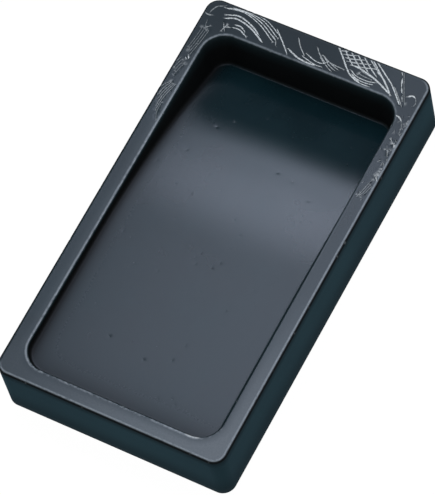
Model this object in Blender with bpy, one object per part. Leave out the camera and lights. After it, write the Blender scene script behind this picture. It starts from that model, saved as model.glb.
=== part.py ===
"""Inkstone: one block of dark slate with a raised rim around a sloping well.

The well has a level hill at the foot, where the ink is ground. It falls gently from
there to a lip and then faster into the sea at the head, where the ink collects. X runs
across the stone, +Y from the foot to the head and +Z up. The origin is the centre of
the resting face.
"""

import math

import bmesh
import bpy
from mathutils import Vector

MM = 0.001

# Outside of the block.
LENGTH = 136.0 * MM
WIDTH = 74.7 * MM
HEIGHT = 21.3 * MM
CORNER_RADIUS = 4.1 * MM
TOP_EDGE_RADIUS = 0.65 * MM
BASE_EDGE_RADIUS = 0.45 * MM

# Rim, from each side of the block to the top of the well's wall.
RIM_LEFT = 5.65 * MM
RIM_RIGHT = 5.45 * MM
RIM_FOOT = 5.5 * MM
RIM_HEAD = 10.25 * MM

# Walls of the well.
WELL_CORNER_RADIUS = 7.2 * MM
WELL_EDGE_RADIUS = 0.4 * MM
WALL_DRAFT = math.radians(10.0)
FLOOR_FILLET = 0.8 * MM

# Floor of the well, along +Y: a level hill, a gentle slope and a steeper sea. Each bend
# has its start, its end and how much the floor's fall grows over it.
HILL_DEPTH = 2.4 * MM
CREST = (-16.0 * MM, 26.0 * MM, 0.165)
LIP = (26.0 * MM, 38.0 * MM, 0.085)

# Facets along each kind of curve.
CORNER_STEPS = 10
EDGE_STEPS = 3
FILLET_STEPS = 4
BEND_STEPS = 6

CUTTER_OVERSHOOT = 3.0 * MM

STONE_COLOUR = (0.045, 0.058, 0.068, 1.0)
STONE_ROUGHNESS = 0.42


def clear_scene():
    for obj in list(bpy.data.objects):
        bpy.data.objects.remove(obj, do_unlink=True)


def add_object(name, bm):
    """Turn a bmesh into a smooth-shaded object with sharp creases kept sharp."""
    bmesh.ops.recalc_face_normals(bm, faces=bm.faces)
    mesh = bpy.data.meshes.new(name)
    bm.to_mesh(mesh)
    bm.free()
    mesh.shade_smooth()
    mesh.set_sharp_from_angle(angle=math.radians(35.0))
    obj = bpy.data.objects.new(name, mesh)
    bpy.context.scene.collection.objects.link(obj)
    return obj


def stone_material():
    material = bpy.data.materials.new("dark_slate")
    material.use_nodes = True
    shader = material.node_tree.nodes["Principled BSDF"]
    shader.inputs["Base Color"].default_value = STONE_COLOUR
    shader.inputs["Roughness"].default_value = STONE_ROUGHNESS
    shader.inputs["Metallic"].default_value = 0.0
    return material


# ---------------------------------------------------------------- block

def bevel(bm, edges, radius, steps):
    bmesh.ops.bevel(
        bm,
        geom=edges,
        offset=radius,
        offset_type="OFFSET",
        segments=steps,
        profile=0.5,
        affect="EDGES",
        clamp_overlap=True,
    )


def edges_at_height(bm, z):
    """Edges that lie in the level plane at height z."""
    return [e for e in bm.edges if all(abs(v.co.z - z) < 1e-6 for v in e.verts)]


def upright_edges(bm):
    return [e for e in bm.edges if abs(e.verts[0].co.z - e.verts[1].co.z) > HEIGHT / 2]


def make_block():
    """The solid slab before the well is cut, with all its edges eased."""
    bm = bmesh.new()
    bmesh.ops.create_cube(bm, size=1.0)
    bmesh.ops.scale(bm, vec=(WIDTH, LENGTH, HEIGHT), verts=bm.verts)
    bmesh.ops.translate(bm, vec=(0.0, 0.0, HEIGHT / 2), verts=bm.verts)
    bevel(bm, upright_edges(bm), CORNER_RADIUS, CORNER_STEPS)
    bevel(bm, edges_at_height(bm, HEIGHT), TOP_EDGE_RADIUS, EDGE_STEPS)
    bevel(bm, edges_at_height(bm, 0.0), BASE_EDGE_RADIUS, EDGE_STEPS)
    return add_object("inkstone_body", bm)


# ---------------------------------------------------------------- well

def floor_depth(y):
    """Depth of the floor below the rim."""
    depth = HILL_DEPTH
    for start, end, added_fall in (CREST, LIP):
        since_start = max(y - start, 0.0)
        since_end = max(y - end, 0.0)
        depth += added_fall * (since_start ** 2 - since_end ** 2) / (2 * (end - start))
    return depth


def floor_gradient(y):
    """How fast the floor falls along +Y."""
    fall = 0.0
    for start, end, added_fall in (CREST, LIP):
        fall += added_fall * min(max((y - start) / (end - start), 0.0), 1.0)
    return fall


def bend_stations():
    """The y places where a long side needs points for the two bends."""
    stations = set()
    for start, end, _ in (CREST, LIP):
        stations.update(start + (end - start) * i / BEND_STEPS for i in range(BEND_STEPS + 1))
    return sorted(stations)


def corner_arc(centre, start_angle):
    """Points and outward normals around one quarter-round corner of the well."""
    result = []
    for i in range(CORNER_STEPS + 1):
        angle = start_angle + math.pi / 2 * i / CORNER_STEPS
        normal = Vector((math.cos(angle), math.sin(angle)))
        result.append((centre + normal * WELL_CORNER_RADIUS, normal))
    return result


def well_outline():
    """The top of the well's wall, counter-clockwise from the right side's foot."""
    left = -WIDTH / 2 + RIM_LEFT
    right = WIDTH / 2 - RIM_RIGHT
    foot = -LENGTH / 2 + RIM_FOOT
    head = LENGTH / 2 - RIM_HEAD
    radius = WELL_CORNER_RADIUS
    points = [(Vector((right, y)), Vector((1.0, 0.0))) for y in bend_stations()]
    points += corner_arc(Vector((right - radius, head - radius)), 0.0)
    points += corner_arc(Vector((left + radius, head - radius)), math.pi / 2)
    points += [(Vector((left, y)), Vector((-1.0, 0.0))) for y in reversed(bend_stations())]
    points += corner_arc(Vector((left + radius, foot + radius)), math.pi)
    points += corner_arc(Vector((right - radius, foot + radius)), math.pi * 1.5)
    return points


def fillet(corner, toward_a, toward_b, radius, steps):
    """Arc of the given radius that rounds off the corner between two directions."""
    half = toward_a.angle(toward_b) / 2
    middle = (toward_a + toward_b).normalized()
    centre = corner + middle * (radius / math.sin(half))
    start = corner + toward_a * (radius / math.tan(half)) - centre
    end = corner + toward_b * (radius / math.tan(half)) - centre
    sweep = start.angle(end)
    points = []
    for i in range(steps + 1):
        t = i / steps
        blend = start * math.sin((1 - t) * sweep) + end * math.sin(t * sweep)
        points.append(centre + blend / math.sin(sweep))
    return points


def wall_section(point, normal):
    """Rim edge, wall and floor fillet at one outline point, as (inset, depth)."""
    draft = math.tan(WALL_DRAFT)
    down_the_wall = Vector((draft, 1.0)).normalized()
    rim_edge = fillet(
        Vector((0.0, 0.0)), Vector((-1.0, 0.0)), down_the_wall, WELL_EDGE_RADIUS, EDGE_STEPS
    )
    depth = HILL_DEPTH
    for _ in range(8):
        foot_y = point.y - normal.y * depth * draft
        depth = floor_depth(foot_y)
    along_the_floor = Vector((1.0, -floor_gradient(foot_y) * normal.y)).normalized()
    floor_edge = fillet(
        Vector((depth * draft, depth)), -down_the_wall, along_the_floor, FLOOR_FILLET, FILLET_STEPS
    )
    return rim_edge + floor_edge


def make_well_cutter():
    """The hollow as a solid: a skin down the walls, a ruled floor and a flat lid."""
    bm = bmesh.new()
    columns = []
    for point, normal in well_outline():
        section = wall_section(point, normal)
        lid = Vector((section[0].x, -CUTTER_OVERSHOOT))
        column = []
        for inset, depth in [lid] + section:
            place = point - normal * inset
            column.append(bm.verts.new((place.x, place.y, HEIGHT - depth)))
        columns.append(column)
    count = len(columns)
    for i in range(count):
        here = columns[i]
        after = columns[(i + 1) % count]
        for j in range(len(here) - 1):
            bm.faces.new((here[j], here[j + 1], after[j + 1], after[j]))
    bm.faces.new([column[0] for column in columns])
    add_ruled_floor(bm, [column[-1] for column in columns])
    return add_object("well_cutter", bm)


def add_ruled_floor(bm, loop):
    """Strips straight across the well, between points at the same y on either side."""
    right_side = sorted((v for v in loop if v.co.x > well_centre_x()), key=lambda v: v.co.y)
    left_side = sorted((v for v in loop if v.co.x < well_centre_x()), key=lambda v: v.co.y)
    for i in range(len(right_side) - 1):
        bm.faces.new((left_side[i], right_side[i], right_side[i + 1], left_side[i + 1]))


def well_centre_x():
    return (RIM_LEFT - RIM_RIGHT) / 2


def cut(obj, cutter):
    modifier = obj.modifiers.new("well", "BOOLEAN")
    modifier.operation = "DIFFERENCE"
    modifier.solver = "EXACT"
    modifier.object = cutter
    cutter.hide_render = True
    cutter.display_type = "WIRE"


def main():
    clear_scene()
    body = make_block()
    body.data.materials.append(stone_material())
    cut(body, make_well_cutter())


main()
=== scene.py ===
"""Looks of the inkstone: honed dark slate with a line engraving cut into its rim.

The stone's CAD solid is replaced by a finer closed mesh of the same size. Its rim is a
flat ring triangulated around real engraved grooves. Its walls and sides are skins of
quads, and its floor is triangulated around small pits. Lengths are in millimetres until
a mesh is made.
"""

import math
import random
from collections import namedtuple

import bpy
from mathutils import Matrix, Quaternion, Vector, kdtree, noise
from mathutils.geometry import delaunay_2d_cdt


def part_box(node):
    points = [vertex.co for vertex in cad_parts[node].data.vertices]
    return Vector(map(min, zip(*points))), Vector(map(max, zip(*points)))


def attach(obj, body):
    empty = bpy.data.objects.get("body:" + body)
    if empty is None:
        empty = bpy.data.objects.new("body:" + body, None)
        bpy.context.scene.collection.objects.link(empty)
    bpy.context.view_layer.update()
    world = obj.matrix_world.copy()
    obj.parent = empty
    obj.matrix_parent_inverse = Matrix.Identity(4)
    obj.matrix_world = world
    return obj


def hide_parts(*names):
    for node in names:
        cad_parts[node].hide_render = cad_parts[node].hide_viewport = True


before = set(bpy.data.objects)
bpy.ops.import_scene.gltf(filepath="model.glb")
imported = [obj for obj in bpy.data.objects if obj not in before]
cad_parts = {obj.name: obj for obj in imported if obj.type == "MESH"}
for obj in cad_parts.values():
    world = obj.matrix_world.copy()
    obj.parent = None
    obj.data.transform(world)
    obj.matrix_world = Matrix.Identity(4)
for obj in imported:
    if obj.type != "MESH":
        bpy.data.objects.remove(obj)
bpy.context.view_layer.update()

MM = 0.001
NODE = "inkstone_body"
LOW, HIGH = (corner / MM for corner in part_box(NODE))
LENGTH = HIGH.y - LOW.y
WIDTH = HIGH.x - LOW.x
HEIGHT = HIGH.z - LOW.z

# The block and its well, as the CAD solid has them.
CORNER_RADIUS = 4.1
TOP_EDGE_RADIUS = 0.65
BASE_EDGE_RADIUS = 0.45
RIM_LEFT = 5.65
RIM_RIGHT = 5.45
RIM_FOOT = 5.5
RIM_HEAD = 10.25
WELL_CORNER_RADIUS = 7.2
WELL_EDGE_RADIUS = 0.4
WALL_DRAFT = math.tan(math.radians(10.0))
FLOOR_FILLET = 0.8

# The well's floor along +Y: a level hill, a gentle slope and a steeper sea. Each bend has
# its start, its end and how much the floor's fall grows over it.
HILL_DEPTH = 2.4
CREST = (-16.0, 26.0, 0.165)
LIP = (26.0, 38.0, 0.085)

# Mesh spacing, and how many facets each rounding, wall and side has.
COLUMN_STEP = 0.36
RIM_STEP = 1.0
FLOOR_STEP = 0.95
GROOVE_STEP = 0.2
CLEARANCE = 0.085
OUTER_EDGE_STEPS = 5
SIDE_STEPS = 7
BASE_EDGE_STEPS = 4
INNER_EDGE_STEPS = 4
WALL_STEPS = 7
FILLET_STEPS = 5
DRAFT_ROUNDS = 8
SHARP_ANGLE = 50.0

random.seed(7)


# ---------------------------------------------------------------- plan outlines

Outline = namedtuple("Outline", "left right foot head radius")

BLOCK = Outline(-WIDTH / 2, WIDTH / 2, -LENGTH / 2, LENGTH / 2, CORNER_RADIUS)
WELL = Outline(
    BLOCK.left + RIM_LEFT,
    BLOCK.right - RIM_RIGHT,
    BLOCK.foot + RIM_FOOT,
    BLOCK.head - RIM_HEAD,
    WELL_CORNER_RADIUS,
)


def grown(outline, by):
    """The outline moved outward by a distance (inward when negative)."""
    return Outline(
        outline.left - by,
        outline.right + by,
        outline.foot - by,
        outline.head + by,
        outline.radius + by,
    )


def distance_to(outline, x, y):
    """Signed distance to a round-cornered rectangle, negative inside it."""
    qx = abs(x - (outline.left + outline.right) / 2) - (outline.right - outline.left) / 2
    qy = abs(y - (outline.foot + outline.head) / 2) - (outline.head - outline.foot) / 2
    qx += outline.radius
    qy += outline.radius
    outside = math.hypot(max(qx, 0.0), max(qy, 0.0))
    return outside + min(max(qx, qy), 0.0) - outline.radius


def walk(outline, step):
    """Points and outward normals around the outline, counter-clockwise."""
    result = []
    radius = outline.radius
    corners = (
        (Vector((outline.right - radius, outline.foot + radius)), -90.0),
        (Vector((outline.right - radius, outline.head - radius)), 0.0),
        (Vector((outline.left + radius, outline.head - radius)), 90.0),
        (Vector((outline.left + radius, outline.foot + radius)), 180.0),
    )
    arc_steps = max(6, round(radius * math.pi / 2 / step))
    for index, (centre, start) in enumerate(corners):
        for i in range(arc_steps + 1):
            angle = math.radians(start + 90.0 * i / arc_steps)
            normal = Vector((math.cos(angle), math.sin(angle)))
            result.append((centre + normal * radius, normal))
        following, following_start = corners[(index + 1) % 4]
        angle = math.radians(following_start)
        normal = Vector((math.cos(angle), math.sin(angle)))
        start_point = result[-1][0]
        run = following + normal * radius - start_point
        count = max(1, round(run.length / step))
        result += [(start_point + run * (i / count), normal) for i in range(1, count)]
    return result


def normal_at(outline, x, y):
    """Outward direction from a round-cornered rectangle near its edge."""
    step = 0.01
    across = distance_to(outline, x + step, y) - distance_to(outline, x - step, y)
    along = distance_to(outline, x, y + step) - distance_to(outline, x, y - step)
    return Vector((across, along)).normalized()


def tree_of(points):
    """A search tree over points in the plan."""
    tree = kdtree.KDTree(len(points))
    for i, p in enumerate(points):
        tree.insert((p.x, p.y, 0.0), i)
    tree.balance()
    return tree


def noise_at(x, y, scale, seed):
    """Smooth noise over the plan, about -1 to 1; a larger scale makes finer patches."""
    return noise.noise(Vector((x * scale, y * scale, seed)))


# ---------------------------------------------------------------- floor of the well

def floor_depth(y):
    """Depth of the floor below the rim."""
    depth = HILL_DEPTH
    for start, end, added_fall in (CREST, LIP):
        since_start = max(y - start, 0.0)
        since_end = max(y - end, 0.0)
        depth += added_fall * (since_start ** 2 - since_end ** 2) / (2 * (end - start))
    return depth


def floor_gradient(y):
    """How fast the floor falls along +Y."""
    fall = 0.0
    for start, end, added_fall in (CREST, LIP):
        fall += added_fall * min(max((y - start) / (end - start), 0.0), 1.0)
    return fall


def fillet(corner, toward_a, toward_b, radius, steps):
    """Arc of the given radius that rounds off the corner between two directions."""
    half = toward_a.angle(toward_b) / 2
    centre = corner + (toward_a + toward_b).normalized() * (radius / math.sin(half))
    start = corner + toward_a * (radius / math.tan(half)) - centre
    end = corner + toward_b * (radius / math.tan(half)) - centre
    sweep = start.angle(end)
    points = []
    for i in range(steps + 1):
        t = i / steps
        blend = start * math.sin((1 - t) * sweep) + end * math.sin(t * sweep)
        points.append(centre + blend / math.sin(sweep))
    return points


# ---------------------------------------------------------------- engraving

Stroke = namedtuple("Stroke", "points width tone")

CURVE_PARTS = 24

# Groups of pecks: the middle, the spread across and along the stone, the number and the
# brightness. The margin keeps them off the right side.
PECK_GROUPS = (
    ((35.3, 43.6), (0.6, 2.2), 16, 0.75),
    ((35.9, 49.5), (0.4, 3.2), 10, 0.55),
    ((34.0, 49.0), (1.2, 5.0), 10, 0.25),
    ((35.9, 35.0), (0.4, 2.2), 7, 0.6),
    ((34.9, 28.6), (0.8, 3.6), 12, 0.35),
)
PECK_MARGIN = 1.0


def stroke(*points, width=0.5, tone=1.0):
    """One cut of the graver through a few points, in mm from the stone's centre."""
    return Stroke([Vector(p) for p in points], width, tone)


def family(first, last, count):
    """Strokes that turn step by step from the first into the last."""
    result = []
    for i in range(count):
        t = i / (count - 1)
        points = [a.lerp(b, t) for a, b in zip(first.points, last.points)]
        width = first.width + (last.width - first.width) * t
        tone = first.tone + (last.tone - first.tone) * t
        result.append(Stroke(points, width, tone))
    return result


def curve_through(points, step):
    """Even samples on a smooth curve through the points."""
    ends = [points[0] * 2 - points[1]] + points + [points[-1] * 2 - points[-2]]
    fine = []
    for a, b, c, d in zip(ends, ends[1:], ends[2:], ends[3:]):
        for i in range(CURVE_PARTS):
            t = i / CURVE_PARTS
            fine.append(
                b
                + (c - a) * (0.5 * t)
                + (a * 2 - b * 5 + c * 4 - d) * (0.5 * t * t)
                + (b * 3 - a - c * 3 + d) * (0.5 * t ** 3)
            )
    fine.append(points[-1])
    samples = [fine[0]]
    carried = 0.0
    for p, q in zip(fine, fine[1:]):
        carried += (q - p).length
        if carried >= step:
            samples.append(q)
            carried = 0.0
    return samples


def head_arcs():
    """Nested arcs that sweep over the head's left corner."""
    cuts = family(
        stroke((-31.6, 65.9), (-25.6, 66.6), (-19.5, 64.8), (-13.4, 61.2), width=0.36),
        stroke((-28.4, 67.3), (-23.0, 67.4), (-18.0, 66.8), (-12.2, 63.8), width=0.3),
        4,
    )
    cuts += [
        stroke((-35.3, 62.8), (-34.3, 65.2), (-32.0, 66.4), width=0.5, tone=0.35),
        stroke((-13.9, 63.0), (-12.6, 61.8), (-11.7, 60.2), width=0.35, tone=0.6),
        stroke((-36.3, 61.9), (-35.2, 61.8), (-34.1, 62.1), width=0.6, tone=0.5),
    ]
    cuts += family(
        stroke((-29.9, 64.0), (-26.4, 64.9), (-21.6, 63.6), (-17.9, 61.4), width=0.55),
        stroke((-30.1, 62.6), (-26.8, 63.8), (-21.6, 62.7), (-16.0, 59.7), width=0.6),
        2,
    )
    cuts += family(
        stroke((-26.2, 61.8), (-24.5, 61.9), (-22.6, 61.0), width=0.5),
        stroke((-26.5, 60.7), (-24.3, 60.8), (-21.6, 59.6), width=0.5),
        2,
    )
    cuts += family(
        stroke((-29.8, 61.1), (-28.9, 59.6), (-28.3, 58.7), width=0.3, tone=0.7),
        stroke((-28.6, 60.6), (-28.9, 59.4), (-29.3, 58.4), width=0.3, tone=0.7),
        2,
    )
    cuts.append(stroke((-28.5, 60.0), (-27.9, 60.3), (-27.2, 60.3), width=0.55, tone=0.7))
    return cuts


def head_waves():
    """Low waves and rays along the middle of the head."""
    cuts = [
        stroke((-13.6, 65.2), (-10.6, 62.4), (-7.4, 59.2), width=0.45),
        stroke((-7.8, 60.9), (-4.2, 59.4), (-0.8, 58.9), (2.0, 59.0), width=0.6),
        stroke((-6.6, 65.4), (-4.8, 63.0), (-2.3, 60.7), width=0.35, tone=0.7),
        stroke((-0.1, 64.9), (1.9, 62.8), (4.6, 60.9), width=0.35, tone=0.6),
        stroke((2.8, 63.1), (5.9, 61.6), (10.6, 61.2), width=0.4, tone=0.6),
    ]
    cuts += family(
        stroke((-2.2, 61.7), (1.0, 60.5), (3.6, 60.4), (5.2, 61.5), width=0.34),
        stroke((-2.4, 60.2), (0.4, 59.5), (2.4, 59.2), (4.2, 59.3), width=0.3),
        2,
    )
    cuts += family(
        stroke((3.1, 62.8), (4.3, 62.0), (5.0, 61.3), width=0.3, tone=0.7),
        stroke((2.3, 62.1), (3.5, 61.3), (4.3, 60.6), width=0.3, tone=0.7),
        2,
    )
    cuts += family(
        stroke((5.2, 61.8), (7.2, 61.0), (9.5, 60.3), width=0.27, tone=0.8),
        stroke((4.6, 60.6), (6.2, 59.7), (7.6, 59.1), width=0.27, tone=0.8),
        3,
    )
    return cuts


def lattice():
    """A woven patch between two long slanting lines, as on a basket."""
    cuts = [
        stroke((5.3, 67.9), (8.4, 64.9), (11.3, 61.9), (13.4, 60.2), (16.8, 59.1), width=0.6),
        stroke((15.6, 68.0), (19.4, 65.3), (23.4, 62.6), (27.0, 59.2), width=0.5),
    ]
    slanting = family(
        stroke((7.4, 67.9), (10.4, 65.2), (12.6, 63.4), width=0.45),
        stroke((13.7, 67.9), (17.6, 64.9), (20.8, 62.8), width=0.45),
        4,
    )
    level = family(
        stroke((7.0, 66.6), (8.6, 67.1), (10.2, 67.8), width=0.4, tone=0.9),
        stroke((11.8, 63.4), (15.0, 63.9), (19.6, 65.2), width=0.4, tone=0.9),
        5,
    )
    return cuts + slanting + level


def basket_arcs():
    """The bowl of arcs under the woven patch and the long lines beside it."""
    cuts = [stroke((12.8, 63.6), (16.4, 63.1), (21.3, 61.7), (26.8, 59.2), width=0.65)]
    cuts += family(
        stroke((12.7, 61.9), (15.0, 60.7), (18.6, 60.4), (21.6, 61.0), width=0.36),
        stroke((14.2, 59.7), (16.0, 59.1), (18.2, 58.9), (20.2, 59.0), width=0.36),
        3,
    )
    cuts += family(
        stroke((15.8, 62.7), (18.2, 62.3), (20.6, 61.9), width=0.24, tone=0.6),
        stroke((15.4, 61.7), (17.8, 61.4), (20.0, 61.4), width=0.24, tone=0.6),
        2,
    )
    cuts += family(
        stroke((18.0, 67.9), (22.6, 64.7), (26.4, 61.9), (31.0, 57.2), width=0.5),
        stroke((16.8, 67.9), (21.6, 64.0), (25.2, 60.8), (26.0, 60.2), width=0.45),
        2,
    )
    cuts += [
        stroke((20.2, 64.3), (22.4, 63.3), (24.6, 61.6), width=0.5, tone=0.9),
        stroke((27.0, 62.0), (29.6, 59.4), (31.9, 56.9), width=0.35, tone=0.7),
    ]
    return cuts


def stem_and_crescents():
    """A dotted stem and two short crescents at the head's right corner."""
    cuts = [
        stroke((26.8, 67.4), (27.5, 66.4), width=0.5, tone=0.9),
        stroke((28.0, 65.2), (28.7, 63.4), width=0.65),
        stroke((29.1, 62.6), (30.0, 61.0), width=0.55, tone=0.9),
        stroke((30.5, 60.0), (31.3, 58.6), width=0.4, tone=0.7),
        stroke((27.4, 67.8), (29.6, 63.2), (32.3, 58.0), width=0.3, tone=0.35),
        stroke((32.0, 60.4), (33.3, 61.3), (34.5, 61.0), width=0.65),
        stroke((34.6, 60.9), (35.3, 59.4), (35.1, 58.2), width=0.3, tone=0.4),
        stroke((31.7, 53.6), (32.8, 53.4), (34.1, 52.5), width=0.65),
        stroke((34.2, 52.2), (35.0, 50.6), (35.2, 49.2), width=0.3, tone=0.35),
    ]
    return cuts


def left_side_strokes():
    """Reeds and a fan down the left side of the rim."""
    cuts = family(
        stroke((-35.0, 57.0), (-35.3, 53.0), (-35.7, 49.6), width=0.2, tone=0.3),
        stroke((-32.6, 57.0), (-33.2, 52.0), (-34.1, 46.9), width=0.2, tone=0.34),
        4,
    )
    cuts += [
        stroke((-34.3, 57.4), (-33.2, 58.2), width=0.5, tone=0.5),
        stroke((-34.8, 59.9), (-34.3, 58.0), (-33.6, 57.2), width=0.3, tone=0.3),
        stroke((-34.2, 46.8), (-33.7, 46.1), width=0.7),
        stroke((-34.9, 46.1), (-34.4, 45.7), width=0.5, tone=0.8),
    ]
    cuts += family(
        stroke((-35.9, 45.5), (-36.5, 44.2), (-36.8, 43.0), width=0.22, tone=0.42),
        stroke((-34.0, 43.8), (-34.7, 41.6), (-35.1, 39.0), width=0.2, tone=0.25),
        4,
    )
    cuts += family(
        stroke((-35.0, 36.8), (-36.3, 35.2), (-36.8, 33.4), width=0.24, tone=0.45),
        stroke((-33.2, 36.2), (-34.3, 31.4), (-34.6, 26.6), width=0.24, tone=0.4),
        5,
    )
    cuts.append(stroke((-34.0, 29.4), (-33.9, 26.2), (-32.9, 23.6), width=0.22, tone=0.25))
    return cuts


def right_side_strokes():
    """A few reeds low on the right side of the rim."""
    cuts = family(
        stroke((33.4, 24.9), (34.1, 27.4), (34.8, 30.6), width=0.24, tone=0.45),
        stroke((34.5, 25.4), (35.2, 27.0), (35.9, 29.4), width=0.22, tone=0.35),
        3,
    )
    cuts += [
        stroke((35.7, 32.9), (36.2, 32.1), width=0.7),
        stroke((33.4, 25.2), (34.2, 26.1), width=0.35, tone=0.5),
    ]
    return cuts


def pecked_dots():
    """Small round pecks scattered over parts of the right side of the rim."""
    cuts = []
    for middle, spread, count, tone in PECK_GROUPS:
        for _ in range(count):
            place = Vector([random.gauss(*pair) for pair in zip(middle, spread)])
            place.x = min(place.x, BLOCK.right - PECK_MARGIN)
            tail = Vector((random.uniform(-0.2, 0.2), random.uniform(0.1, 0.3)))
            width = random.uniform(0.3, 0.55)
            cuts.append(Stroke([place, place + tail], width, tone * random.uniform(0.6, 1.2)))
    return cuts


# A bright groove's depth for its width, the share of it that a faint one has, and the most.
GROOVE_DEPTH_PER_WIDTH = 0.36
FAINT_DEPTH = 0.3
DEEPEST_CUT = 0.19

# Every cut is thin at its ends and full after a short way, and its width and line waver.
TIP_WIDTH = 0.35
TAPER_LENGTH = 1.2
WIDTH_WAVER = 0.35
LINE_WAVER = 0.05

# How fast depth and brightness rise from a cut's edge to its middle, and how near the edges
# of the flat all cuts fade out.
DEPTH_RISE = 1.15
TONE_RISE = 3.0
CUT_FADE = 0.25

# Rows of mesh points along each cut, in half widths from its middle.
RAIL_OFFSETS = (0.0, 0.5, -0.5, 1.0, -1.0, 1.5, -1.5)

CutSample = namedtuple("CutSample", "place half_width depth tone")


def cut_samples(strokes):
    """Points along every stroke, with the cut's own width, depth and brightness there."""
    samples = []
    rails = []
    for number, cut in enumerate(strokes):
        line = curve_through(cut.points, GROOVE_STEP)
        count = len(line)
        brightness = FAINT_DEPTH + (1.0 - FAINT_DEPTH) * min(1.0, cut.tone)
        depth_per_width = GROOVE_DEPTH_PER_WIDTH * brightness
        for i, place in enumerate(line):
            along = (line[min(i + 1, count - 1)] - line[max(i - 1, 0)]).normalized()
            side = Vector((-along.y, along.x))
            from_end = min(i + 0.6, count - 0.4 - i) * GROOVE_STEP
            taper = min(1.0, TIP_WIDTH + from_end / TAPER_LENGTH)
            waver = noise_at(place.x, place.y, 1.7, number)
            half = cut.width / 2 * taper * (1.0 + WIDTH_WAVER * waver)
            shift = LINE_WAVER * noise_at(place.x, place.y, 1.0, 40 + number)
            place = place + side * shift
            depth = min(DEEPEST_CUT, depth_per_width * 2 * half)
            samples.append(CutSample(place, half, depth, cut.tone))
            rails += [(abs(k), place + side * (half * k)) for k in RAIL_OFFSETS]
    rails.sort(key=lambda rail: rail[0])
    return samples, [place for _, place in rails]


class Engraving:
    """Looks up how deep and how bright the cutting is at any place on the rim."""

    def __init__(self, strokes):
        self.samples, self.rails = cut_samples(strokes)
        self.reach = max(sample.half_width for sample in self.samples)
        self.tree = tree_of([sample.place for sample in self.samples])

    def at(self, x, y):
        depth = 0.0
        tone = 0.0
        for _, index, distance in self.tree.find_range((x, y, 0.0), self.reach):
            sample = self.samples[index]
            share = 1.0 - distance / sample.half_width
            if share > 0.0:
                depth = max(depth, sample.depth * min(1.0, share * DEPTH_RISE))
                tone = max(tone, sample.tone * min(1.0, share * TONE_RISE))
        edge = min(-distance_to(FLAT_OUTER, x, y), distance_to(FLAT_INNER, x, y))
        fade = min(1.0, max(0.0, edge / CUT_FADE))
        return depth * fade, tone * fade


# ---------------------------------------------------------------- mesh building

FLAT_OUTER = grown(BLOCK, -TOP_EDGE_RADIUS)
FLAT_INNER = grown(WELL, WELL_EDGE_RADIUS)

# Look values at a vertex: fresh cut (with one painted highlight), pale (painted highlight and
# sheen, and wear), dull (rougher) and darkened (painted shade on the well and the top edge,
# darker toward the base).
Look = namedtuple("Look", "cut wear dull stain", defaults=(0.0, 0.0, 0.0, 0.0))


class Surface:
    """Collects vertices in mm, with their look values, and faces."""

    def __init__(self):
        self.places = []
        self.looks = []
        self.faces = []

    def add(self, place, look):
        self.places.append(place)
        self.looks.append(look)
        return len(self.places) - 1

    def skin(self, columns):
        """Quads between neighbouring columns of vertex numbers, closed into a ring."""
        count = len(columns)
        for i in range(count):
            here = columns[i]
            after = columns[(i + 1) % count]
            for j in range(len(here) - 1):
                self.faces.append((here[j], after[j], after[j + 1], here[j + 1]))

    def fill(self, loops, inside, keep, surface_at):
        """Triangles over loops of vertex numbers and loose points; keep() drops holes."""
        numbers = [n for loop in loops for n in loop]
        flat = [self.places[n].to_2d() for n in numbers]
        edges = []
        start = 0
        for loop in loops:
            size = len(loop)
            edges += [(start + i, start + (i + 1) % size) for i in range(size)]
            start += size
        flat += inside
        points, _, triangles, originals, _, _ = delaunay_2d_cdt(flat, edges, [], 1, 1e-7)
        known = {}
        for new, old_list in enumerate(originals):
            on_loop = [o for o in old_list if o < len(numbers)]
            if on_loop:
                known[new] = numbers[on_loop[0]]
        for triangle in triangles:
            middle = sum((points[n] for n in triangle), Vector((0.0, 0.0))) / 3
            if not keep(middle.x, middle.y):
                continue
            face = []
            for n in triangle:
                if n not in known:
                    x, y = points[n]
                    height, look = surface_at(x, y)
                    known[n] = self.add(Vector((x, y, height)), look)
                face.append(known[n])
            self.faces.append(tuple(face))


# Loose grids: the gap between rows and how far a point is shaken, both in steps.
ROW_GAP = 0.87
SHAKE = 0.2


def thinned(points, spacing, keep):
    """The points in order, leaving out those that share a small square with an earlier one."""
    taken = set()
    result = []
    for p in points:
        if not keep(p.x, p.y):
            continue
        cell = (math.floor(p.x / spacing), math.floor(p.y / spacing))
        near = [(cell[0] + i, cell[1] + j) for i in (-1, 0, 1) for j in (-1, 0, 1)]
        if cell in taken or sum(c in taken for c in near) > 2:
            continue
        taken.add(cell)
        result.append(p)
    return result


def scatter(outline, step):
    """A loose triangular grid of points over an outline's box."""
    points = []
    row = 0
    y = outline.foot
    while y < outline.head:
        x = outline.left + step * (0.5 if row % 2 else 0.0)
        while x < outline.right:
            shake = Vector((random.uniform(-SHAKE, SHAKE), random.uniform(-SHAKE, SHAKE)))
            points.append(Vector((x, y)) + shake * step)
            x += step
        y += step * ROW_GAP
        row += 1
    return points


def smooth_step(value, low, high):
    """From 0 at low to 1 at high, level at both ends; low may be the larger of the two."""
    t = min(1.0, max(0.0, (value - low) / (high - low)))
    return t * t * (3.0 - 2.0 * t)


# ---------------------------------------------------------------- wear, painted highlight and painted shade

# How far down its rounding, from the rim, an edge gets its pale line (painted highlight, with
# wear on the inner edge) and the outer edge its painted shade. The pale line also runs this
# far onto the flat of the rim.
INNER_EDGE_FADE = (1.0, 0.6, 0.15, 0.05, 0.05)
OUTER_EDGE_FADE = (0.85, 0.1, 0.0, 0.0, 0.0, 0.0)
OUTER_EDGE_PAINTED_SHADE = (0.0, 0.55, 1.0, 1.0, 1.0, 0.6)
EDGE_LINE = 0.6

# Dullness of the rim: its most, and the places along and across the stone where it changes.
RIM_DULLNESS = 0.85
RIM_DULL_ALONG = (26.0, 64.0)
RIM_DULL_ACROSS = (0.0, 30.0)
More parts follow.
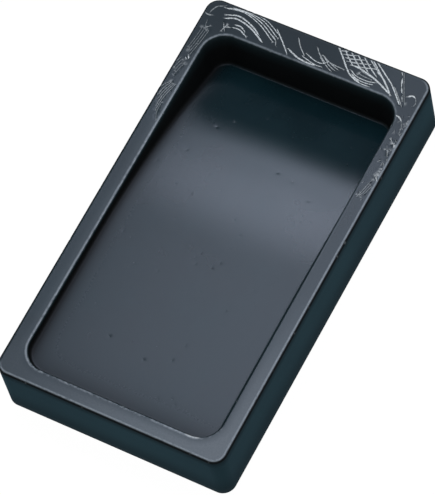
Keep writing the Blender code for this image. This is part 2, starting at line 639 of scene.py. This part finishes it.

# Painted sheen on the flat of the rim: its strength, and where it starts and is full.
CORNER_SHEEN = 0.3
CORNER_SPAN = (32.0, 92.0)
FOOT_SHEEN = 0.09
FOOT_SPAN = (48.0, 64.0)
LEFT_SHEEN = 0.11
LEFT_SPAN = (30.0, 34.0)
LEFT_ALONG = (-56.0, -40.0)
SHADE_BY_WELL = 0.6
SHADE_SPAN = (2.6, 0.2)
LEFT_LINE_SPAN = (2.8, 0.2)

# One painted highlight on the inner edge: its place, the distances over which it fades in and how
# bright it is.
EDGE_GLINT = (25.4, -62.4)
EDGE_GLINT_SPAN = (2.6, 1.2)
EDGE_GLINT_BRIGHTNESS = 0.75

# Small chips: how fast they grow once the noise is over the threshold. Each edge of the
# rim has its noise seed, how easily chips come (more easily on the well's foot edge), the
# largest, and how pale they are per mm and at most.
CHIP_GROWTH = 1.1
CHIP_THRESHOLD = 0.52
Chips = namedtuple("Chips", "seed share largest paleness palest")
OUTER_CHIPS = Chips(31.0, 0.05, 0.35, 2.5, 0.6)
INNER_CHIPS = Chips(77.0, 0.04, 0.4, 3.0, 0.8)
FOOT_CHIP_SHARE = 0.2

# How far a chip's surface moves level and down, as shares of its size.
OUTER_CHIP_SHIFT = (0.7, 0.7)
INNER_CHIP_SHIFT = (0.5, 0.6)

# Looks of the side (dull all over, duller and darker toward the base), of the base's edge
# (darkened) and of the well's wall, whose painted shade grows row by row.
SIDE_SPAN = (13.0, 0.5)
SIDE_DULLNESS = (0.2, 0.4)
SIDE_DARKENING = 0.6
BASE_EDGE_LOOK = Look(wear=0.03, dull=0.7, stain=0.65)
WALL_PAINTED_SHADE = (0.4, 0.3)

# Painted shade on the floor beside the left wall and the foot's: strengths and reaches in mm.
PAINTED_SHADE_BY_LEFT = ((0.85, 1.4), (0.2, 4.0))
PAINTED_SHADE_BY_FOOT = ((0.35, 3.5),)

SEA_POLISH = 0.24
SEA_SPAN = (22.0, 38.0)


def patchy(x, y, share, seed):
    """A value from 0 to 1 that comes and goes along an edge; share is how often it shows."""
    broad = noise_at(x, y, 0.08, seed)
    fine = noise_at(x, y, 0.9, seed + 6.0)
    return max(0.0, min(1.0, share + 0.5 * broad + 0.8 * fine))


def rim_dullness(x, y):
    """The rim is smooth along the sides and duller at the head, most at its left."""
    at_head = RIM_DULLNESS * smooth_step(y, *RIM_DULL_ALONG)
    return at_head * (1.0 - 0.5 * smooth_step(x, *RIM_DULL_ACROSS))


def rim_sheen(x, y, from_inner):
    """Painted sheen on the flat of the rim around its right foot corner and low on its left."""
    at_corner = CORNER_SHEEN * smooth_step(x - y, *CORNER_SPAN)
    lightening = at_corner + FOOT_SHEEN * smooth_step(-y, *FOOT_SPAN)
    lightening *= 1.0 - SHADE_BY_WELL * smooth_step(from_inner, *SHADE_SPAN)
    at_left = smooth_step(-x, *LEFT_SPAN) * smooth_step(from_inner, *LEFT_LINE_SPAN)
    return lightening + LEFT_SHEEN * at_left * smooth_step(-y, *LEFT_ALONG)


def outer_edge_highlight(x, y, normal):
    """Painted highlight on the top edge: patchy on the right and foot edges, hardly on the left
    and head.
    """
    side = max(0.0, normal.x) + max(0.0, -normal.y)
    return patchy(x, y, 1.1, 3.0) * min(1.0, 0.03 + side)


def inner_edge_highlight_and_wear(x, y, normal):
    """Painted highlight, even along the left and head; broken wear and highlight along the foot;
    faint on the right.
    """
    even = max(0.0, -normal.x) + 0.7 * max(0.0, normal.y)
    broken = max(0.0, -normal.y) * max(0.0, patchy(x, y, 0.42, 21.0) - 0.2) * 1.3
    steady = patchy(x, y, 0.85, 12.0) * (0.08 + even * 0.92)
    return min(1.0, steady + broken + edge_glint_at(x, y))


def edge_glint_at(x, y):
    """The one painted highlight, on the inner edge near the foot's right corner."""
    return smooth_step(math.hypot(x - EDGE_GLINT[0], y - EDGE_GLINT[1]), *EDGE_GLINT_SPAN)


def chip_at(x, y, chips, extra_share):
    """Size in mm of a small chip out of an edge, mostly zero."""
    lump = noise_at(x, y, 0.85, chips.seed)
    region = noise_at(x, y, 0.13, chips.seed + 4.0)
    rise = lump + 0.25 * region - CHIP_THRESHOLD + (chips.share + extra_share)
    return min(chips.largest, CHIP_GROWTH * max(0.0, rise))


def chip_wear(bite, chips):
    """How pale a chip is where it bites this deep."""
    return min(chips.palest, bite * chips.paleness)


def floor_painted_shade(place):
    """Painted shade, which also dulls the floor, beside the walls, most of all along the left
    one.
    """
    left = WELL.left + WALL_DRAFT * floor_depth(place.y) + FLOOR_FILLET
    foot = WELL.foot + WALL_DRAFT * HILL_DEPTH + FLOOR_FILLET
    from_left = max(0.0, place.x - left)
    from_foot = max(0.0, place.y - foot)
    near_left = sum(most * math.exp(-from_left / reach) for most, reach in PAINTED_SHADE_BY_LEFT)
    near_foot = sum(most * math.exp(-from_foot / reach) for most, reach in PAINTED_SHADE_BY_FOOT)
    return min(1.0, near_left + near_foot)


# ---------------------------------------------------------------- the stone's mesh

def outer_section(point, normal):
    """Top edge, side and base edge at one outline point, as (inset, height, look)."""
    brightened = outer_edge_highlight(point.x, point.y, normal)
    dull = rim_dullness(point.x, point.y)
    chip = chip_at(point.x, point.y, OUTER_CHIPS, 0.0)
    section = []
    for i in range(OUTER_EDGE_STEPS + 1):
        angle = math.pi / 2 * i / OUTER_EDGE_STEPS
        inset = TOP_EDGE_RADIUS * (1 - math.sin(angle))
        drop = TOP_EDGE_RADIUS * (1 - math.cos(angle))
        bite = chip * math.sin(math.pi * i / OUTER_EDGE_STEPS)
        # The top edge's pale line is painted highlight and its dark band is painted shade.
        look = Look(
            wear=brightened * OUTER_EDGE_FADE[i] + chip_wear(bite, OUTER_CHIPS),
            dull=max(dull, OUTER_EDGE_PAINTED_SHADE[i]),
            stain=OUTER_EDGE_PAINTED_SHADE[i],
        )
        inset += bite * OUTER_CHIP_SHIFT[0]
        section.append((inset, HEIGHT - drop - bite * OUTER_CHIP_SHIFT[1], look))
    top = HEIGHT - TOP_EDGE_RADIUS
    base = BASE_EDGE_RADIUS
    for i in range(1, SIDE_STEPS):
        z = top + (base - top) * i / SIDE_STEPS
        low = smooth_step(z, *SIDE_SPAN)
        dull_here = SIDE_DULLNESS[0] + SIDE_DULLNESS[1] * low
        # The side is darker toward the base.
        section.append((0.0, z, Look(dull=dull_here, stain=SIDE_DARKENING * low)))
    for i in range(BASE_EDGE_STEPS + 1):
        angle = math.pi / 2 * i / BASE_EDGE_STEPS
        inset = BASE_EDGE_RADIUS * (1 - math.cos(angle))
        section.append((inset, base - BASE_EDGE_RADIUS * math.sin(angle), BASE_EDGE_LOOK))
    return section


def well_profile(point, normal):
    """Inner edge, wall and fillet at one outline point, as lists of (inset, depth)."""
    down = Vector((WALL_DRAFT, 1.0)).normalized()
    rim_corner = Vector((0.0, 0.0))
    along_rim = Vector((-1.0, 0.0))
    edge = fillet(rim_corner, along_rim, down, WELL_EDGE_RADIUS, INNER_EDGE_STEPS)
    depth = HILL_DEPTH
    foot_y = point.y
    for _ in range(DRAFT_ROUNDS):
        foot_y = point.y - normal.y * depth * WALL_DRAFT
        depth = floor_depth(foot_y)
    along_floor = Vector((1.0, -floor_gradient(foot_y) * normal.y)).normalized()
    floor_corner = Vector((depth * WALL_DRAFT, depth))
    foot = fillet(floor_corner, -down, along_floor, FLOOR_FILLET, FILLET_STEPS)
    wall = [edge[-1].lerp(foot[0], i / WALL_STEPS) for i in range(1, WALL_STEPS)]
    edge[0] = Vector((-WELL_EDGE_RADIUS, 0.0))
    return edge, wall, foot


def well_section(point, normal):
    """Inner edge, wall and fillet with their wear, painted highlight and painted shade, as
    (inset, height, look).
    """
    edge, wall, foot = well_profile(point, normal)
    brightened = inner_edge_highlight_and_wear(point.x, point.y, normal)
    dull = rim_dullness(point.x, point.y)
    chip = chip_at(point.x, point.y, INNER_CHIPS, FOOT_CHIP_SHARE * max(0.0, -normal.y))
    level, down = INNER_CHIP_SHIFT
    # A painted highlight, put in as fresh cut colour.
    fresh_and_glint = EDGE_GLINT_BRIGHTNESS * edge_glint_at(point.x, point.y)
    looks = []
    for i in range(INNER_EDGE_STEPS + 1):
        bite = 0.0
        if i < INNER_EDGE_STEPS:
            bite = chip * math.sin(math.pi * i / INNER_EDGE_STEPS)
        edge[i] = edge[i] + Vector((-bite * level, bite * down))
        brightened_here = brightened * INNER_EDGE_FADE[i] + chip_wear(bite, INNER_CHIPS)
        looks.append(Look(fresh_and_glint * INNER_EDGE_FADE[i], brightened_here, dull))
    # The wall is darkened row by row: painted shade.
    for i in range(len(wall)):
        looks.append(Look(dull=1.0, stain=min(1.0, WALL_PAINTED_SHADE[0] + WALL_PAINTED_SHADE[1] * i)))
    # Painted shade on the fillet, fading into the floor's.
    on_floor = floor_painted_shade(point - normal * foot[-1].x)
    for i in range(FILLET_STEPS + 1):
        stain = 1.0 + (on_floor - 1.0) * i / FILLET_STEPS
        looks.append(Look(dull=stain, stain=stain))
    places = edge + wall + foot
    return [(place.x, HEIGHT - place.y, look) for place, look in zip(places, looks)]


def add_columns(surface, outline, section_at):
    """A column of vertices at every step around an outline, as lists of their numbers."""
    columns = []
    for point, normal in walk(outline, COLUMN_STEP):
        column = []
        for inset, z, look in section_at(point, normal):
            place = point - normal * inset
            column.append(surface.add(Vector((place.x, place.y, z)), look))
        columns.append(column)
    return columns


# Points on the flat of the rim: rings this far in from its edges and their spacing, how far
# other points keep from the edges and the cuts, and how far loose ones keep from each other.
SUPPORT_INSETS = (0.15, 0.33, 0.58)
SUPPORT_STEP = 0.5
EDGE_MARGIN = 0.12
CUT_MARGIN = 0.45
LOOSE_SPACING = 0.2

# The pale edge lines (painted highlight, with wear on the inner one) are full this far from the
# edge of the flat, outside and inside.
OUTER_LINE_FULL = 0.15
INNER_LINE_FULL = 0.1

# Floor points: rings beside the fillet, and the rings and corners around each pit.
FLOOR_RINGS = (0.35, 0.8, 1.4, 2.1, 3.0, 4.1)
PIT_RINGS = (0.55, 1.05)
PIT_CORNERS = 7
PIT_MARGIN = 0.6
PIT_TO_FILLET = 1.5

CHOSEN_PITS = (
    (2.0, -41.0),
    (-1.5, -11.0),
    (19.0, -13.5),
    (-22.0, -13.0),
    (-21.0, -36.0),
    (-5.5, 12.0),
    (12.0, 24.0),
    (-17.0, -20.0),
    (14.0, -54.0),
)
CHOSEN_PIT_DEPTH = 0.022
TINY_PITS = 30
TINY_PIT_DEPTH = 0.018
TINY_PITS_ACROSS = (-28.0, 28.0)
TINY_PITS_ALONG = (-58.0, 44.0)

Pit = namedtuple("Pit", "place radius depth pale")


def on_flat(x, y, margin):
    """Whether a place is on the flat of the rim, at least a margin from its edges."""
    return distance_to(FLAT_OUTER, x, y) < -margin and distance_to(FLAT_INNER, x, y) > margin


def rim_points(engraving):
    """Points for the flat of the rim: close along the cuts, loose elsewhere."""
    support = []
    for inset in SUPPORT_INSETS:
        support += [p for p, _ in walk(grown(FLAT_OUTER, -inset), SUPPORT_STEP)]
        support += [p for p, _ in walk(grown(FLAT_INNER, inset), SUPPORT_STEP)]

    def clear_of_edges(x, y):
        return on_flat(x, y, EDGE_MARGIN)

    def clear_of_cuts(p):
        return clear_of_edges(p.x, p.y) and engraving.tree.find((p.x, p.y, 0.0))[2] > CUT_MARGIN

    fine = thinned(engraving.rails, CLEARANCE, clear_of_edges)
    loose = [p for p in support + scatter(FLAT_OUTER, RIM_STEP) if clear_of_cuts(p)]
    return fine + thinned(loose, LOOSE_SPACING, clear_of_edges)


def pit_list():
    """Pits in the floor: a few at chosen places and many tiny ones."""
    pits = []
    for place in CHOSEN_PITS:
        radius = random.uniform(0.14, 0.22)
        pale = random.uniform(0.05, 0.2)
        pits.append(Pit(Vector(place), radius, CHOSEN_PIT_DEPTH, pale))
    for _ in range(TINY_PITS):
        place = Vector((random.uniform(*TINY_PITS_ACROSS), random.uniform(*TINY_PITS_ALONG)))
        radius = random.uniform(0.08, 0.13)
        pale = random.choice((0.0, 0.05, 0.1))
        pits.append(Pit(place, radius, TINY_PIT_DEPTH, pale))
    return pits


def pit_points(pit):
    """The middle of a pit and two rings of points around it."""
    points = [pit.place]
    for ring in PIT_RINGS:
        for i in range(PIT_CORNERS):
            turn = 2 * math.pi * i / PIT_CORNERS
            around = Vector((math.cos(turn), math.sin(turn)))
            points.append(pit.place + around * pit.radius * ring)
    return points


def add_rim(surface, outer, well, engraving):
    """The flat of the rim between its two edges, with the engraving cut into it."""

    def rim_at(x, y):
        depth, tone = engraving.at(x, y)
        from_outer = -distance_to(FLAT_OUTER, x, y)
        from_inner = distance_to(FLAT_INNER, x, y)
        # Painted sheen on the flat, and near the edges painted highlight lines, with wear on the
        # inner one.
        brightened = rim_sheen(x, y, from_inner)
        if from_outer < EDGE_LINE:
            line = outer_edge_highlight(x, y, normal_at(BLOCK, x, y))
            brightened += (line - brightened) * smooth_step(from_outer, EDGE_LINE, OUTER_LINE_FULL)
        elif from_inner < EDGE_LINE:
            line = inner_edge_highlight_and_wear(x, y, normal_at(WELL, x, y))
            brightened += (line - brightened) * smooth_step(from_inner, EDGE_LINE, INNER_LINE_FULL)
        return HEIGHT - depth, Look(cut=tone, wear=brightened, dull=rim_dullness(x, y))

    loops = [[column[0] for column in outer], [column[0] for column in well]]
    surface.fill(loops, rim_points(engraving), lambda x, y: on_flat(x, y, 0.0), rim_at)


def add_floor(surface, well):
    """The honed floor inside the fillet, with its pits."""
    floor_loop = [column[-1] for column in well]
    floor_ring = [surface.places[n].to_2d() for n in floor_loop]
    floor_tree = tree_of(floor_ring)
    inner = grown(WELL, -FLOOR_FILLET)
    pits = pit_list()
    pit_tree = tree_of([pit.place for pit in pits])

    def clear_of_fillet(p, gap):
        inset = WALL_DRAFT * floor_depth(p.y) + FLOOR_FILLET * 0.25
        inside = distance_to(inner, p.x, p.y) < -inset
        return inside and floor_tree.find((p.x, p.y, 0.0))[2] > gap

    def floor_at(x, y):
        _, index, distance = pit_tree.find((x, y, 0.0))
        pit = pits[index]
        share = max(0.0, 1.0 - distance / pit.radius)
        # Painted shade beside the walls, also used as dullness.
        stain = floor_painted_shade(Vector((x, y)))
        dull = stain - SEA_POLISH * smooth_step(y, *SEA_SPAN)
        height = HEIGHT - floor_depth(y) - pit.depth * share
        return height, Look(cut=pit.pale * share, dull=dull, stain=stain)

    points = []
    for pit in pits:
        if clear_of_fillet(pit.place, PIT_TO_FILLET):
            points += pit_points(pit)
    loose = []
    for inset in FLOOR_RINGS:
        for p, (_, normal) in list(zip(floor_ring, walk(WELL, COLUMN_STEP)))[::2]:
            ring_point = p - normal * inset
            if clear_of_fillet(ring_point, inset * 0.9):
                loose.append(ring_point)
    past_rings = FLOOR_RINGS[-1] + 0.5
    loose += [p for p in scatter(inner, FLOOR_STEP) if clear_of_fillet(p, past_rings)]
    points += [p for p in loose if pit_tree.find((p.x, p.y, 0.0))[2] > PIT_MARGIN]
    surface.fill([floor_loop], points, lambda x, y: True, floor_at)


def build_stone():
    """The whole closed stone."""
    strokes = head_arcs() + head_waves() + lattice() + basket_arcs() + stem_and_crescents()
    strokes += left_side_strokes() + right_side_strokes() + pecked_dots()
    engraving = Engraving(strokes)
    surface = Surface()
    outer = add_columns(surface, BLOCK, outer_section)
    well = add_columns(surface, WELL, well_section)
    surface.skin([column[::-1] for column in outer])
    surface.skin(well)
    add_rim(surface, outer, well, engraving)
    add_floor(surface, well)
    surface.faces.append(tuple(column[-1] for column in reversed(outer)))
    return surface


def to_object(surface, name):
    """A smooth-shaded object in metres, with each look value as a vertex attribute."""
    mesh = bpy.data.meshes.new(name)
    mesh.from_pydata([tuple(p * MM) for p in surface.places], [], surface.faces)
    for index, label in enumerate(Look._fields):
        attribute = mesh.attributes.new(label, "FLOAT", "POINT")
        attribute.data.foreach_set("value", [look[index] for look in surface.looks])
    mesh.validate()
    mesh.shade_smooth()
    mesh.set_sharp_from_angle(angle=math.radians(SHARP_ANGLE))
    obj = bpy.data.objects.new(name, mesh)
    bpy.context.scene.collection.objects.link(obj)
    return obj


# ---------------------------------------------------------------- materials

WHITE = (1.0, 1.0, 1.0, 1.0)
STONE_DARK = (0.004, 0.0155, 0.02, 1.0)
STONE_PALE = (0.0065, 0.023, 0.029, 1.0)
STONE_SPECK = (0.03, 0.036, 0.04, 1.0)
# Near black for painted shade, also used to darken the side toward the base.
DARKENING_COLOUR = (0.0008, 0.001, 0.0012, 1.0)
# Pale for painted highlight and sheen on the rim and its edges, and for wear and chips.
HIGHLIGHT_AND_WEAR_COLOUR = (0.245, 0.28, 0.305, 1.0)
FRESH_CUT = (0.84, 0.88, 0.88, 1.0)

# Roughness, how much the clouds sway it, and what dullness and a fresh cut add to it.
ROUGHNESS = 0.24
ROUGHNESS_SWAY = 0.008
DULL_ROUGHNESS = 0.33
CUT_ROUGHNESS = 0.35

# Noises: scale per mm, detail and roughness. Honing marks run along the stone.
CLOUDS = (0.045, 3.0, 0.5)
GRAIN = (1.6, 3.0, 0.7)
CRUMBS = (2.6, 2.0, 0.6)
HONING = (1.0, 2.0, 0.6)
PER_MM = (1000.0, 1000.0, 1000.0)
ALONG_HONING = (2600.0, 160.0, 1000.0)

# Bump: how much the grain and the honing add, its strength and its distance in metres.
GRAIN_BUMP = 0.5
HONING_BUMP = 0.35
BUMP_STRENGTH = 0.12
BUMP_DISTANCE = 0.00005

DARKENING_COVER = 0.92
STONE_IOR = 1.5


class Nodes:
    """A short way to add nodes and join them."""

    def __init__(self, material):
        material.use_nodes = True
        self.tree = material.node_tree
        self.shader = self.tree.nodes["Principled BSDF"]

    def add(self, kind, inputs=None, **settings):
        node = self.tree.nodes.new(kind)
        for key, value in settings.items():
            setattr(node, key, value)
        for key, value in (inputs or {}).items():
            self.join(value, node.inputs[key])
        return node

    def join(self, value, socket):
        if isinstance(value, bpy.types.NodeSocket):
            self.tree.links.new(value, socket)
        else:
            socket.default_value = value

    def math(self, operation, a, b=0.0, clamp=False):
        node = self.add("ShaderNodeMath", {0: a, 1: b}, operation=operation, use_clamp=clamp)
        return node.outputs[0]

    def scaled(self, vector, factors):
        inputs = {0: vector, 1: factors}
        return self.add("ShaderNodeVectorMath", inputs, operation="MULTIPLY").outputs[0]

    def attribute(self, name):
        return self.add("ShaderNodeAttribute", attribute_name=name).outputs["Fac"]

    def noise(self, coordinates, scale, detail, roughness):
        inputs = {"Vector": coordinates, "Scale": scale, "Detail": detail, "Roughness": roughness}
        return self.add("ShaderNodeTexNoise", inputs).outputs["Fac"]

    def mix(self, factor, a, b):
        node = self.add("ShaderNodeMix", data_type="RGBA")
        self.join(factor, node.inputs["Factor"])
        self.join(a, node.inputs[6])
        self.join(b, node.inputs[7])
        return node.outputs[2]

    def remap(self, value, low, high, to_low=0.0, to_high=1.0):
        inputs = {"Value": value, 1: low, 2: high, 3: to_low, 4: to_high}
        return self.add("ShaderNodeMapRange", inputs, clamp=True).outputs[0]


def stone_material():
    """Honed slate whose colour and gloss follow the look values at each vertex."""
    material = bpy.data.materials.new("honed_slate")
    nodes = Nodes(material)
    position = nodes.add("ShaderNodeTexCoord").outputs["Object"]
    in_mm = nodes.scaled(position, PER_MM)
    cut = nodes.attribute("cut")
    wear = nodes.attribute("wear")
    dull = nodes.attribute("dull")
    stain = nodes.attribute("stain")

    clouds = nodes.noise(in_mm, *CLOUDS)
    grain = nodes.noise(in_mm, *GRAIN)
    crumbs = nodes.noise(in_mm, *CRUMBS)
    honing = nodes.noise(nodes.scaled(position, ALONG_HONING), *HONING)

    body = nodes.mix(nodes.remap(clouds, 0.3, 0.7), STONE_DARK, STONE_PALE)
    body = nodes.mix(nodes.remap(grain, 0.62, 0.8, 0.0, 0.3), body, STONE_SPECK)
    # Painted shade on the well and the top edge, and darker toward the base on the side.
    body = nodes.mix(nodes.math("MULTIPLY", stain, DARKENING_COVER), body, DARKENING_COLOUR)
    # Painted highlight and sheen, and wear.
    lightening = nodes.math("MULTIPLY", wear, nodes.remap(grain, 0.35, 0.65, 0.78, 1.0))
    body = nodes.mix(lightening, body, HIGHLIGHT_AND_WEAR_COLOUR)
    broken = nodes.remap(crumbs, 0.34, 0.54, 0.3, 1.0)
    fresh_and_glint = nodes.math("MULTIPLY", cut, broken, clamp=True)
    colour = nodes.mix(fresh_and_glint, body, FRESH_CUT)

    from_cut = nodes.math("MULTIPLY", fresh_and_glint, CUT_ROUGHNESS)
    least = ROUGHNESS - ROUGHNESS_SWAY
    most = ROUGHNESS + ROUGHNESS_SWAY
    gloss = nodes.remap(clouds, 0.3, 0.7, least, most)
    gloss = nodes.math("ADD", gloss, nodes.remap(grain, 0.3, 0.7, -0.006, 0.01))
    gloss = nodes.math("ADD", gloss, nodes.math("MULTIPLY", dull, DULL_ROUGHNESS))
    gloss = nodes.math("ADD", gloss, from_cut, clamp=True)

    from_grain = nodes.math("MULTIPLY", grain, GRAIN_BUMP)
    from_honing = nodes.math("MULTIPLY", honing, HONING_BUMP)
    height = nodes.math("ADD", from_grain, from_honing)
    inputs = {"Height": height, "Strength": BUMP_STRENGTH, "Distance": BUMP_DISTANCE}
    bump = nodes.add("ShaderNodeBump", inputs).outputs[0]

    shader = nodes.shader
    nodes.join(colour, shader.inputs["Base Color"])
    nodes.join(gloss, shader.inputs["Roughness"])
    nodes.join(bump, shader.inputs["Normal"])
    shader.inputs["IOR"].default_value = STONE_IOR
    return material


def plain_material(name, colour, roughness, glow, glow_colour=WHITE):
    """A matt material that can give off its own light."""
    material = bpy.data.materials.new(name)
    material.use_nodes = True
    shader = material.node_tree.nodes["Principled BSDF"]
    shader.inputs["Base Color"].default_value = colour
    shader.inputs["Roughness"].default_value = roughness
    shader.inputs["Specular IOR Level"].default_value = 0.0
    shader.inputs["Emission Color"].default_value = glow_colour
    shader.inputs["Emission Strength"].default_value = glow
    return material


# ---------------------------------------------------------------- stage

# Camera: angles in degrees, distance, lens and target in mm, far clip in metres.
CAMERA_AZIMUTH = 42.114
CAMERA_ELEVATION = 61.658
CAMERA_DISTANCE = 1129.7
CAMERA_ROLL = -16.005
CAMERA_TARGET = Vector((0.41, -2.59, 11.45))
CAMERA_LENS = 280.70
FAR_CLIP = 100.0

# Table and card: level squares. Sizes are in metres; the card lies just under the table.
STAGE_HALF = 3.0
SQUARE = ((-1, -1), (1, -1), (1, 1), (-1, 1))
TABLE_COLOUR = (0.08, 0.08, 0.08, 1.0)
TABLE_ROUGHNESS = 0.9
TABLE_GLOW = 0.97
CARD_HEIGHT = -0.001
CARD_COLOUR = (0.61, 1.0, 1.28, 1.0)
CARD_GLOW = 0.108

# Surround: its strength on matt surfaces, and the band that glossy ones see, which is even
# up to the first height and gone at the second (0 at the horizon, 1 straight up).
AMBIENT = 0.55
BAND_GLOW = 0.2
BAND_HEIGHTS = (0.3, 0.52)

# Soft boxes that hang level over the stone: name, place and size in metres, radiance.
LIGHT_TINT = (0.9, 1.0, 1.24)
LIGHTS = (
    ("window", (-0.297, 0.63, 0.8), (0.14, 0.35), 7.15),
    ("overhead", (-0.06, 0.262, 0.8), (0.6, 0.28), 2.55),
)


def direction(azimuth, elevation):
    """Unit vector; azimuth runs from -Y towards +X, both in degrees."""
    a = math.radians(azimuth)
    e = math.radians(elevation)
    return Vector((math.sin(a) * math.cos(e), -math.cos(a) * math.cos(e), math.sin(e)))


def add_camera():
    """The photo's view of the stone."""
    data = bpy.data.cameras.new("camera")
    data.lens = CAMERA_LENS
    data.clip_end = FAR_CLIP
    camera = bpy.data.objects.new("camera", data)
    bpy.context.scene.collection.objects.link(camera)
    away = direction(CAMERA_AZIMUTH, CAMERA_ELEVATION)
    camera.location = (CAMERA_TARGET + away * CAMERA_DISTANCE) * MM
    turn = (-away).to_track_quat("-Z", "Y")
    roll = Quaternion((0.0, 0.0, 1.0), math.radians(CAMERA_ROLL))
    camera.rotation_mode = "QUATERNION"
    camera.rotation_quaternion = turn @ roll
    bpy.context.scene.camera = camera


def add_light(name, place, size, radiance):
    """A soft box that faces straight down."""
    data = bpy.data.lights.new(name, "AREA")
    data.shape = "RECTANGLE"
    data.size, data.size_y = size
    data.energy = math.pi * radiance * size[0] * size[1]
    data.color = LIGHT_TINT
    light = bpy.data.objects.new(name, data)
    bpy.context.scene.collection.objects.link(light)
    light.location = place


def add_plane(name, height, material):
    """A large level square that belongs to the stage."""
    corners = [(x * STAGE_HALF, y * STAGE_HALF, height) for x, y in SQUARE]
    mesh = bpy.data.meshes.new(name)
    mesh.from_pydata(corners, [], [(0, 1, 2, 3)])
    plane = bpy.data.objects.new(name, mesh)
    bpy.context.scene.collection.objects.link(plane)
    plane.data.materials.append(material)
    return plane


def add_world():
    """White to the camera, dim to matt surfaces and a faint low band to glossy ones."""
    world = bpy.data.worlds.new("studio")
    world.use_nodes = True
    nodes = world.node_tree.nodes
    links = world.node_tree.links
    path = nodes.new("ShaderNodeLightPath")
    parts = nodes.new("ShaderNodeSeparateXYZ")
    links.new(nodes.new("ShaderNodeTexCoord").outputs["Generated"], parts.inputs[0])
    band = nodes.new("ShaderNodeMapRange")
    band.interpolation_type = "SMOOTHSTEP"
    links.new(parts.outputs["Z"], band.inputs["Value"])
    for number, value in enumerate((*BAND_HEIGHTS, BAND_GLOW, 0.0), start=1):
        band.inputs[number].default_value = value
    surround = nodes.new("ShaderNodeMix")
    links.new(path.outputs["Is Glossy Ray"], surround.inputs["Factor"])
    surround.inputs["A"].default_value = AMBIENT
    links.new(band.outputs[0], surround.inputs["B"])
    strength = nodes.new("ShaderNodeMix")
    links.new(path.outputs["Is Camera Ray"], strength.inputs["Factor"])
    links.new(surround.outputs[0], strength.inputs["A"])
    strength.inputs["B"].default_value = 1.0
    background = nodes["Background"]
    background.inputs["Color"].default_value = WHITE
    links.new(strength.outputs[0], background.inputs["Strength"])
    bpy.context.scene.world = world


def add_stage():
    """A pale lit table, a darker card that only the stone's gloss sees, and soft boxes."""
    pale = plain_material("pale_table", TABLE_COLOUR, TABLE_ROUGHNESS, TABLE_GLOW)
    table = add_plane("floor", 0.0, pale)
    table.visible_glossy = False
    dark = plain_material("card", (0.0, 0.0, 0.0, 1.0), 1.0, CARD_GLOW, CARD_COLOUR)
    card = add_plane("card", CARD_HEIGHT, dark)
    card.visible_camera = False
    card.visible_diffuse = False
    card.visible_shadow = False

    add_world()
    bpy.context.scene.view_settings.view_transform = "Standard"

    for name, place, size, radiance in LIGHTS:
        add_light(name, place, size, radiance)


def main():
    stone = to_object(build_stone(), "stone")
    stone.data.materials.append(stone_material())
    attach(stone, "root")
    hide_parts(NODE)
    add_stage()
    add_camera()


main()
